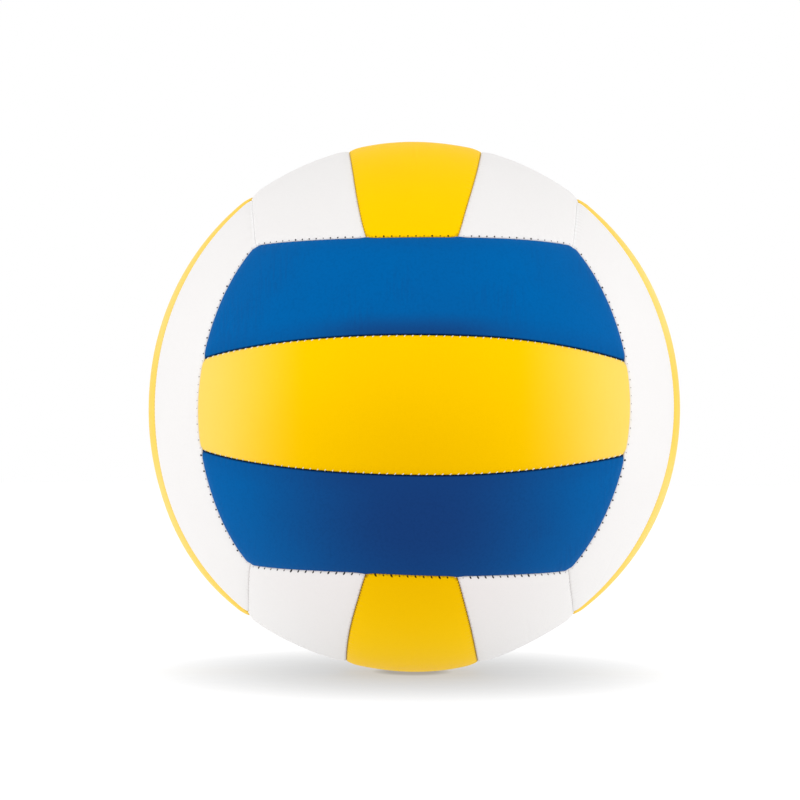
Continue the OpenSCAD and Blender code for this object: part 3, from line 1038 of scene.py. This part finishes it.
def thread_material():
    """Bonded polyester sewing thread: bright white, with the soft shine of twisted plies."""
    made, tree, shader, in_mm = new_material("bonded_polyester_thread")
    run = node(tree, "ShaderNodeAttribute", attribute_name="thread_run").outputs["Fac"]
    turn = node(tree, "ShaderNodeAttribute", attribute_name="thread_round").outputs["Fac"]
    # The plies turn once round over each stitch's thread
    plies = 2 * math.pi * PLIES
    turns = node(tree, "ShaderNodeMath", [turn, plies], operation="MULTIPLY")
    twist = node(tree, "ShaderNodeMath", [run, plies, turns], operation="MULTIPLY_ADD")
    ply = node(tree, "ShaderNodeMath", [twist], operation="SINE")
    fuzz = node(tree, "ShaderNodeTexNoise", [in_mm, 1 / FIBRE_W, 2.0])
    # The grooves between the plies are painted darker: painted shade
    groove = node(tree, "ShaderNodeMapRange", [ply, -1.0, 0.2, 1.0, 0.0])
    shade = [groove, linear("#FCFCFA"), linear("#D9D8D4")]
    shade = node(tree, "ShaderNodeMix", shade, **COLOURS)
    tree.links.new(shade.outputs["Result"], shader.inputs["Base Color"])
    inputs = {"Height": ply, "Strength": 1.0, "Distance": PLY_H * MM}
    inputs = {"Normal": node(tree, "ShaderNodeBump", inputs)}
    inputs |= {"Height": fuzz, "Strength": 1.0, "Distance": FIBRE_H * MM}
    fibres = node(tree, "ShaderNodeBump", inputs)
    tree.links.new(fibres.outputs[0], shader.inputs["Normal"])
    shader.inputs["Roughness"].default_value = 0.55
    shader.inputs["Sheen Weight"].default_value = 0.3
    return made


# Slow clouds of foam, rubber and cloth: their width, and how much they change the roughness
PATCH_W = 15.0
PATCH_GLOSS = 0.06


def pitted(name, colour, deep, pit_mm, pit_depth, roughness):
    """Foam, rubber or cloth: one colour with pits or a weave of a given size."""
    made, tree, shader, in_mm = new_material(name)
    pits = node(tree, "ShaderNodeTexVoronoi", {"Vector": in_mm, "Scale": 1 / pit_mm})
    cloud = node(tree, "ShaderNodeTexNoise", [in_mm, 1 / PATCH_W, 3.0])
    mixed = node(tree, "ShaderNodeMath", [pits, cloud], operation="MULTIPLY")
    shade = node(tree, "ShaderNodeMix", [mixed, linear(colour), linear(deep)], **COLOURS)
    tree.links.new(shade.outputs["Result"], shader.inputs["Base Color"])
    inputs = {"Height": pits, "Strength": 1.0, "Distance": pit_depth * MM}
    bump = node(tree, "ShaderNodeBump", inputs)
    tree.links.new(bump.outputs[0], shader.inputs["Normal"])
    inputs = [cloud, *NOISE_RANGE, roughness - PATCH_GLOSS, roughness + PATCH_GLOSS]
    gloss = node(tree, "ShaderNodeMapRange", inputs)
    tree.links.new(gloss.outputs[0], shader.inputs["Roughness"])
    return made


MATERIALS["thread"] = thread_material()
# Closed-cell foam sheet: pale cream with cut bubbles 0.6 mm wide
MATERIALS["foam"] = pitted("eva_foam_cream", "#E9E2D2", "#CFC5AE", 0.6, 0.15, 0.85)
# Butyl rubber, dipped: nearly black, satin, with faint pits
MATERIALS["bladder_rubber"] = pitted("butyl_rubber_black", "#26272A", "#17181A", 1.4, 0.04, 0.5)
# Moulded valve rubber: black with a fine sparked surface
MATERIALS["plug_rubber"] = pitted("moulded_rubber_black", "#1F2023", "#141517", 0.5, 0.02, 0.42)
# Moulded seat rubber: grey and dull
MATERIALS["seat_rubber"] = pitted("moulded_rubber_grey", "#8F8B84", "#7A766F", 0.7, 0.03, 0.6)
# Rubbered cotton canvas: unbleached, with threads 0.8 mm apart
MATERIALS["canvas"] = pitted("cotton_canvas_natural", "#CFC2A2", "#B3A480", 0.8, 0.08, 0.9)


# Sizes of a stitch in millimetres. Between blue and yellow the thread shows as small dots, and
# elsewhere it lies deep in the seam. It comes up from a depth, a little back from the seam, and
# bends over the fold beside it
THREAD_SIZES = ("Thread width", "Stitch slant", "Stitch reach", "Stitch height", "Stitch dive")
SHOWN_STITCH = (0.42, 0.6, 0.6, -0.1, -0.8)
DEEP_STITCH = (0.42, 0.6, 0.3, -1.1, -1.3)
STITCH_DEPTH = 1.5
STITCH_BACK = 0.1
STITCH_BEND = 0.35


def stitch_tree():
    """Geometry nodes that put one bent piece of thread at every stitch point of a seam."""
    tree = bpy.data.node_groups.new("seam_stitches", "GeometryNodeTree")
    face = tree.interface
    face.new_socket("Geometry", in_out="INPUT", socket_type="NodeSocketGeometry")
    for name in THREAD_SIZES:
        face.new_socket(name, in_out="INPUT", socket_type="NodeSocketFloat")
    face.new_socket("Thread", in_out="INPUT", socket_type="NodeSocketMaterial")
    face.new_socket("Geometry", in_out="OUTPUT", socket_type="NodeSocketGeometry")
    given = node(tree, "NodeGroupInput").outputs
    half = node(tree, "ShaderNodeMath", [given["Thread width"], 0.5], operation="MULTIPLY")
    back = node(tree, "ShaderNodeMath", [given["Stitch slant"], -1.0], operation="MULTIPLY")
    # The thread comes up from the bottom of the seam, bends over the fold and dives into the cover
    start = [back, -STITCH_BACK * MM, -STITCH_DEPTH * MM]
    middle = [0.0, STITCH_BEND * MM, given["Stitch height"]]
    end = [0.0, given["Stitch reach"], given["Stitch dive"]]
    bends = {"Resolution": 6}
    for name, place in (("Start", start), ("Middle", middle), ("End", end)):
        bends[name] = node(tree, "ShaderNodeCombineXYZ", place)
    path = node(tree, "GeometryNodeCurveQuadraticBezier", bends)
    share = node(tree, "GeometryNodeSplineParameter").outputs["Factor"]
    inputs = {"Geometry": path, "Name": "thread_run", "Value": share}
    path = node(tree, "GeometryNodeStoreNamedAttribute", inputs)
    section = node(tree, "GeometryNodeCurvePrimitiveCircle", {"Resolution": 6, "Radius": half})
    inputs = {"Geometry": section, "Name": "thread_round", "Value": share}
    section = node(tree, "GeometryNodeStoreNamedAttribute", inputs)
    inputs = {"Curve": path, "Profile Curve": section, "Fill Caps": True}
    thread = node(tree, "GeometryNodeCurveToMesh", inputs)
    vector = {"data_type": "FLOAT_VECTOR"}
    along = node(tree, "GeometryNodeInputNamedAttribute", {"Name": "along"}, **vector)
    out = node(tree, "GeometryNodeInputNamedAttribute", {"Name": "out"}, **vector)
    axes = {"primary_axis": "Z", "secondary_axis": "X"}
    turned = node(tree, "FunctionNodeAxesToRotation", [out, along], **axes)
    points = node(tree, "GeometryNodeMeshToPoints", {"Mesh": given["Geometry"]})
    inputs = {"Points": points, "Instance": thread, "Rotation": turned}
    placed = node(tree, "GeometryNodeInstanceOnPoints", inputs)
    real = node(tree, "GeometryNodeRealizeInstances", {"Geometry": placed})
    smooth = node(tree, "GeometryNodeSetShadeSmooth", {"Geometry": real})
    inputs = {"Geometry": smooth, "Material": given["Thread"]}
    dressed = node(tree, "GeometryNodeSetMaterial", inputs)
    node(tree, "NodeGroupOutput", [dressed])
    return tree


STITCHES = stitch_tree()


# The share of a seam's length between a stitch and the places that tell its direction
BESIDE = 0.002


def sew(name, seams, turn, sizes):
    """The stitches of some seams. Each seam comes with the side, 1 or -1, where stitches show."""
    places, alongs, outs = [], [], []
    for seam, side in seams:
        count, first = seam.stitches()
        share = (first + np.arange(count) * STITCH_PITCH) / seam.length
        nearby = (share - BESIDE, share, share + BESIDE)
        before, place, after = (drifted(seam.at(shares) @ turn.T) for shares in nearby)
        out = unit(place)
        along = (after - before) * side
        places.append(place)
        outs.append(out)
        alongs.append(unit(along - np.sum(along * out, 1, keepdims=True) * out))
    mesh = bpy.data.meshes.new(name)
    mesh.from_pydata((np.concatenate(places) * MM).tolist(), [], [])
    for label, vectors in (("along", alongs), ("out", outs)):
        held = mesh.attributes.new(label, "FLOAT_VECTOR", "POINT")
        held.data.foreach_set("vector", np.concatenate(vectors).astype(np.float32).ravel())
    row = bpy.data.objects.new(name + "_points", mesh)
    scene.collection.objects.link(row)
    modifier = row.modifiers.new("stitches", "NODES")
    modifier.node_group = STITCHES
    for item in STITCHES.interface.items_tree:
        if item.name in THREAD_SIZES:
            modifier[item.identifier] = sizes[THREAD_SIZES.index(item.name)] * MM
        if item.name == "Thread":
            modifier[item.identifier] = MATERIALS["thread"]
    bpy.context.view_layer.update()
    shown = row.evaluated_get(bpy.context.evaluated_depsgraph_get())
    piece = bpy.data.objects.new(name, bpy.data.meshes.new_from_object(shown))
    scene.collection.objects.link(piece)
    bpy.data.objects.remove(row)
    return piece


def fit(piece, node_name, material):
    """Gives a piece its finish, attaches it to what it rides on, and hides the CAD part it stands for.
    """
    piece.data.materials.clear()
    piece.data.materials.append(MATERIALS[material])
    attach(piece, "root")
    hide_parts(node_name)


# Covers and pads
shells = {}
for face_name, (angles, strip_names, end_names) in FACES.items():
    turn = face_turn(face_name)
    turns = CORNER_TURNS[face_name]
    for strip, strip_name in zip((-1, 0, 1), strip_names):
        with_valve = face_name == "back" and strip == 0
        looks_name = LOOKS_LIKE.get(face_name, face_name)
        kind = (abs(strip), looks_name, with_valve)
        if kind not in shells:
            looks = SEAM_LOOKS[looks_name][abs(strip)]
            cover = cover_shell(abs(strip), turns, looks, with_valve)
            shells[kind] = (cover, pad_shell(abs(strip), turns, with_valve))
        colour = "yellow" if strip == 0 else COVER_COLOURS.get(face_name, "white")
        label = f"{face_name}_{strip_name}"
        cover = make_piece(f"leather_{label}", shells[kind][0], turn, strip < 0)
        fit(cover, f"cover_{label}", colour)
        pad = make_piece(f"foam_{label}", shells[kind][1], turn, strip < 0)
        fit(pad, f"pad_{label}", "foam")

# Stitches. On a blue panel's edges they show on the neighbour's side of the seam
EDGE_SIDES = {1: 1, -1: -1, 0: -1}
for face_name, (angles, strip_names, end_names) in FACES.items():
    turn = face_turn(face_name)
    end_turn = CORNER_TURNS[face_name][0]
    edge = end_edge(end_turn)
    for end, end_name in zip((1, -1), end_names):
        seam = edge if end > 0 else edge.changed(mirror_x)
        rows = [(seam, EDGE_SIDES[end_turn] * -end)]
        piece = sew(f"stitches_{face_name}_{end_name}", rows, turn, DEEP_STITCH)
        fit(piece, f"thread_{face_name}_{end_name}", "thread")
    between = strip_seam()
    shown_side, sizes = (-1, SHOWN_STITCH) if face_name in COVER_COLOURS else (1, DEEP_STITCH)
    rows = [(between, shown_side), (between.changed(mirror_y), -shown_side)]
    piece = sew(f"stitches_{face_name}_strips", rows, turn, sizes)
    fit(piece, f"thread_{face_name}_strips", "thread")

# The valve plug's profile. On its head, how far in from the rim points lie and how far below the
# top, then radii and depths on the lip and funnel round the needle's way in
HEAD_ROUND = ((0, 0.75), (0.1, 0.5), (0.35, 0.3), (0.9, 0.18))
FUNNEL = ((3.0, 0.06), (2.1, 0), (1.7, 0.05), (1.35, 0.3), (NEEDLE_R, 0.8))
HEAD_FILLET = 0.4
HEAD_CHAMFER = 0.3
BULB_TO_STEM = 2.3
BULB_LAST = 48
BULB_POINTS = 14
PLUG_SIDES = 64


def plug_profile():
    """The valve plug from its bulb up, over its domed head and down the needle's blind way."""
    head_r = PLUG_HEAD_D / 2
    head_low = PLUG_TOP - PLUG_HEAD_T
    stem_r = PLUG_STEM_D / 2
    bulb_r = PLUG_BULB_D / 2
    guide_low = PLUG_TOP - GUIDE_LEN
    turns = np.radians(np.linspace(-90, BULB_LAST, BULB_POINTS))[1:-1]
    bulb = [(bulb_r * math.cos(t), PLUG_BULB_Y + bulb_r * math.sin(t)) for t in turns]
    return [
        (0, PLUG_BULB_Y - bulb_r),
        *bulb,
        (stem_r, PLUG_BULB_Y + BULB_TO_STEM),
        (stem_r, head_low - HEAD_FILLET),
        (stem_r + HEAD_FILLET, head_low),
        (head_r - HEAD_CHAMFER, head_low),
        (head_r, head_low + HEAD_CHAMFER),
        *((head_r - inset, PLUG_TOP - depth) for inset, depth in HEAD_ROUND),
        *((radius, PLUG_TOP - depth) for radius, depth in FUNNEL),
        (NEEDLE_R, guide_low + HEAD_CHAMFER),
        (NEEDLE_R - HEAD_CHAMFER, guide_low),
        (0, guide_low),
    ]


plug = make_piece("rubber_valve_plug", lathe_shell(plug_profile(), PLUG_SIDES), np.eye(3))
fit(plug, "valve_plug", "plug_rubber")

# The bladder is a thin ball with a round hole for the valve, and a raised line from its mould
MOULD_LINE_H = 0.175
MOULD_LINE_W = 1.2
BLADDER_RINGS = 90
BLADDER_SIDES = 128


def bladder_arc(radius):
    """Half of a circle, from the edge of the valve hole to the far pole."""
    angles = np.linspace(math.asin(SEAT_HOLE_D / 2 / radius), math.pi, BLADDER_RINGS)[:-1]
    return [*((radius * math.sin(a), radius * math.cos(a)) for a in angles), (0, -radius)]


def mould_line(height):
    """How much wider the bladder is at a height than a plain ball, as a factor."""
    return 1 + MOULD_LINE_H * math.exp(-((height / MOULD_LINE_W) ** 2)) / BLADDER_OUT_R


bladder_out = [(r * mould_line(y), y) for r, y in bladder_arc(BLADDER_OUT_R)[::-1]]
bladder_profile = bladder_out + bladder_arc(BLADDER_OUT_R - BLADDER_T)
bladder = make_piece("rubber_bladder", lathe_shell(bladder_profile, BLADDER_SIDES), np.eye(3))
fit(bladder, "bladder", "bladder_rubber")

# The rest of the valve keeps its CAD shape and takes its finish
for node_name, finish in (
    ("valve_ring", "canvas"),
    ("valve_patch", "canvas"),
    ("valve_seat", "seat_rubber"),
):
    part = frame["nodes"][node_name]
    part.data.materials.clear()
    part.data.materials.append(MATERIALS[finish])

# Floor: a sheet of opal acrylic that glows, wide enough to have no edge in view
FLOOR_HALF = 9.0
FLOOR_CELLS = 24
# Distances from the ball's centre in millimetres, and the glow's strengths there. The glow that
# the camera sees is weaker near the ball, a painted shadow, and darker still at the contact
GLOW_SEEN = (105.0, 152.0, 0.51, 0.96)
CONTACT_SHADOW = (105.0, 105.8, 0.6, 1.0)
GLOW_THROWN = (105.0, 125.0, 0.78, 0.95)
# How much nearer the glow's changes lie along Y, where the painted shadow is longer
SHADOW_STRETCH = (1.0, 0.44, 1.0)
leathers = [made for made in scene.objects if made.name.startswith("leather_bottom")]
floor_z = min(v.co.z for made in leathers for v in made.data.vertices)
line = np.linspace(-FLOOR_HALF, FLOOR_HALF, FLOOR_CELLS + 1)
floor_points = [(x, y, floor_z) for x in line for y in line]
row = FLOOR_CELLS + 1
floor_faces = [
    (j * row + k, (j + 1) * row + k, (j + 1) * row + k + 1, j * row + k + 1)
    for j in range(FLOOR_CELLS)
    for k in range(FLOOR_CELLS)
]
floor_mesh = bpy.data.meshes.new("studio_floor")
floor_mesh.from_pydata(floor_points, [], floor_faces)
floor_mesh.update()
floor = bpy.data.objects.new("studio_floor", floor_mesh)
scene.collection.objects.link(floor)
# The acrylic is white, matt and glows by itself. Its glow lights the ball from below, and the glow
# that the camera sees is weaker round the ball: a painted shadow
acrylic = pitted("opal_acrylic_white", "#404040", "#3F3F3F", 0.4, 0.01, 0.9)
glowing = acrylic.node_tree
acrylic_shader = glowing.nodes["Principled BSDF"]
acrylic_shader.inputs["Emission Color"].default_value = linear("#FFFFFF")
inputs = [glowing.nodes["Vector Math"], SHADOW_STRETCH]
stretched = node(glowing, "ShaderNodeVectorMath", inputs, operation="MULTIPLY")
from_ball = node(glowing, "ShaderNodeVectorMath", [stretched], operation="LENGTH")
seen_glow_and_shadow, contact_shadow, glow_thrown = (
    node(glowing, "ShaderNodeMapRange", [from_ball, *levels])
    for levels in (GLOW_SEEN, CONTACT_SHADOW, GLOW_THROWN)
)
seen_glow_and_shadow = node(glowing, "ShaderNodeMath", [seen_glow_and_shadow, contact_shadow], operation="MULTIPLY")
is_seen = node(glowing, "ShaderNodeLightPath").outputs["Is Camera Ray"]
glow = node(glowing, "ShaderNodeMix", [is_seen, glow_thrown, seen_glow_and_shadow])
glowing.links.new(glow.outputs["Result"], acrylic_shader.inputs["Emission Strength"])
floor_mesh.materials.append(acrylic)
floor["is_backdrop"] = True

# Studio: a white tent that is darker where the camera looks in, and soft boxes round the ball
TENT_OPENING = Vector((0.0, -1.0, -0.12)).normalized()
# The turns off the opening's middle where it ends and where it is darkest, and light levels there
OPENING = (math.cos(math.radians(45)), math.cos(math.radians(18)), 1.0, 0.5)
# Light levels of the tent at the height of the ball and at its top
ROOF = (0.0, 1.0, 0.97, 0.82)
world = bpy.data.worlds.new("white_tent")
scene.world = world
world.use_nodes = True
sky = world.node_tree
sky.nodes.clear()
way = node(sky, "ShaderNodeTexCoord").outputs["Generated"]
facing = node(sky, "ShaderNodeVectorMath", [way, tuple(TENT_OPENING)], operation="DOT_PRODUCT")
opening = node(sky, "ShaderNodeMapRange", [facing, *OPENING], **SMOOTH)
height = node(sky, "ShaderNodeSeparateXYZ", [way]).outputs["Z"]
roof = node(sky, "ShaderNodeMapRange", [height, *ROOF])
strength = node(sky, "ShaderNodeMath", [opening, roof], operation="MULTIPLY")
tent_light = node(sky, "ShaderNodeBackground", [linear("#FFFFFF"), strength])
backdrop = node(sky, "ShaderNodeBackground", [linear("#FFFFFF"), 1.0])
seen = node(sky, "ShaderNodeLightPath").outputs["Is Camera Ray"]
both_skies = node(sky, "ShaderNodeMixShader", [seen, tent_light, backdrop])
node(sky, "ShaderNodeOutputWorld", {"Surface": both_skies})

# Soft boxes: name, place and size in metres, and power in watts. Each faces the ball
SOFT_BOXES = (
    ("box_above", (0.3, -1.5, 2.4), (1.5, 0.9), 9.5),
    ("box_left", (-2.7, -0.1, 0.6), (1.4, 2.4), 9.0),
    ("box_right", (2.7, -0.1, 0.6), (1.4, 2.4), 9.0),
    ("box_low_left", (-1.5, -2.3, 0.1), (1.2, 0.3), 5.0),
    ("box_low_right", (1.5, -2.3, 0.1), (1.2, 0.3), 5.0),
)
for name, place, size, power in SOFT_BOXES:
    lamp = bpy.data.lights.new(name, "AREA")
    lamp.shape = "RECTANGLE"
    lamp.size, lamp.size_y = size
    lamp.energy = power
    box = bpy.data.objects.new(name, lamp)
    box.location = place
    box.rotation_euler = (-Vector(place)).to_track_quat("-Z", "Y").to_euler()
    box.visible_camera = False
    scene.collection.objects.link(box)

# Camera, as the photograph's outline and seams place it: its distance in ball radii, its turns in
# degrees, its focal length in pixels, the ball's place in the picture, and how far it sees
CAMERA_FAR = 18.48
CAMERA_YAW, CAMERA_PITCH, CAMERA_ROLL = -0.42, -0.45, 0.35
FOCAL_PX = 4909.0
PICTURE_PX = 800.0
BALL_PX = (413.78, 406.96)
SENSOR_MM = 36.0
SEES_FAR = 50.0
turned = (
    Matrix.Rotation(math.radians(CAMERA_ROLL), 3, "Y")
    @ Matrix.Rotation(math.radians(CAMERA_PITCH), 3, "X")
    @ Matrix.Rotation(math.radians(CAMERA_YAW), 3, "Z")
)
distance = CAMERA_FAR * BALL_R * MM
aim_x = (PICTURE_PX / 2 - BALL_PX[0]) / FOCAL_PX
aim_z = (BALL_PX[1] - PICTURE_PX / 2) / FOCAL_PX
ahead = Vector((aim_x, 1.0, aim_z)).normalized()
right = ahead.cross(Vector((0.0, 0.0, 1.0))).normalized()
up = right.cross(ahead)
axes = Matrix((right, up, -ahead)).transposed()
camera_data = bpy.data.cameras.new("camera")
camera_data.sensor_width = SENSOR_MM
camera_data.lens = FOCAL_PX / PICTURE_PX * SENSOR_MM
camera_data.clip_end = SEES_FAR
camera = bpy.data.objects.new("camera", camera_data)
back_turn = turned.transposed()
camera.matrix_world = Matrix.Translation(back_turn @ Vector((0.0, -distance, 0.0))) @ (
    back_turn @ axes
).to_4x4()
scene.collection.objects.link(camera)
scene.camera = camera
scene.view_settings.view_transform = "Standard"

new_low, new_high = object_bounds()
sizes = {
    "cad_low": list(cad_low),
    "cad_high": list(cad_high),
    "visual_low": list(new_low),
    "visual_high": list(new_high),
}
